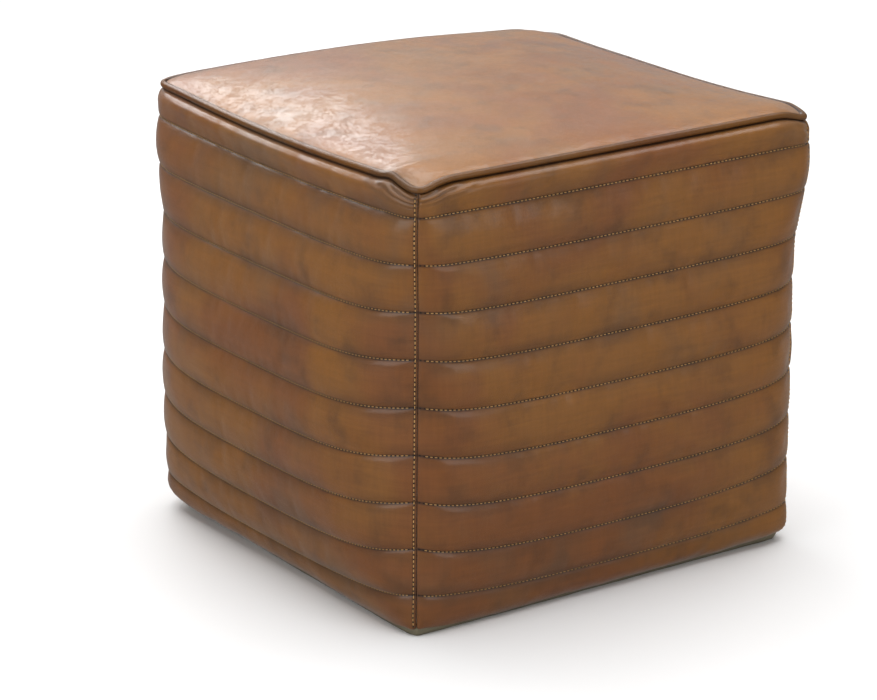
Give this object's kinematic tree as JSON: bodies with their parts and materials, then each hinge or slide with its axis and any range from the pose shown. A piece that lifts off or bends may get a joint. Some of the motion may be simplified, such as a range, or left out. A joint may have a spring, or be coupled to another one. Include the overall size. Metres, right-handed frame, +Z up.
{
  "type": "leather pouf",
  "caption": "Square leather floor pouf with channel-quilted sides, a piped flat top, a zipped canvas base and an inner bag of loose fill.",
  "frame": {"origin": "on the floor under the middle of the pouf", "axes": "+Z up; -Y is the front panel, +X the right panel; the zip runs along X"},
  "size_m": [0.489, 0.489, 0.42],
  "materials": {
    "leather": "waxed cognac leather, satin to glossy",
    "seat_leather": "waxed cognac leather, glossy",
    "piping_leather": "waxed cognac leather rolled over a cord",
    "canvas": "plain-weave khaki canvas, matt",
    "cotton": "unbleached cotton, matt",
    "wadding": "soft fibre, matt",
    "thread": "waxed golden-tan thread",
    "zip_tape": "dark woven tape",
    "zip_teeth": "moulded teeth",
    "zip_metal": "lightly worn brass"
  },
  "bodies": {
    "cover": {"side_panel_front": "leather", "side_wadding_front": "wadding", "side_lining_front": "cotton", "corner_stitching_front": "thread", "side_panel_right": "leather", "side_wadding_right": "wadding", "side_lining_right": "cotton", "corner_stitching_right": "thread", "side_panel_back": "leather", "side_wadding_back": "wadding", "side_lining_back": "cotton", "corner_stitching_back": "thread", "side_panel_left": "leather", "side_wadding_left": "wadding", "side_lining_left": "cotton", "corner_stitching_left": "thread", "top_panel": "seat_leather", "top_wadding": "wadding", "top_lining": "cotton", "piping_wrap": "piping_leather", "piping_cord": "cotton", "base_panel_front": "canvas", "zip_tape_front": "zip_tape", "zip_teeth_front": "zip_teeth", "zip_stitching_front": "thread", "base_panel_rear": "canvas", "zip_tape_rear": "zip_tape", "zip_teeth_rear": "zip_teeth", "zip_stitching_rear": "thread", "zip_bottom_stop": "zip_metal", "zip_top_stop": "zip_metal", "inner_bag": "cotton", "inner_bag_lid": "cotton", "loose_fill": "wadding"},
    "zip_slider": {"zip_slider": "zip_metal"},
    "zip_pull": {"zip_pull": "zip_metal"}
  },
  "joints": [
    {"name": "zip_slide", "type": "slide", "parent": "cover", "child": "zip_slider", "axis": [1, 0, 0], "range_m": [0, 0.3]},
    {"name": "zip_pull_hinge", "type": "hinge", "parent": "zip_slider", "child": "zip_pull", "pos_m": [-0.152, 0, 0.00265], "axis": [0, 1, 0], "range_deg": [0, 180]}
  ]
}
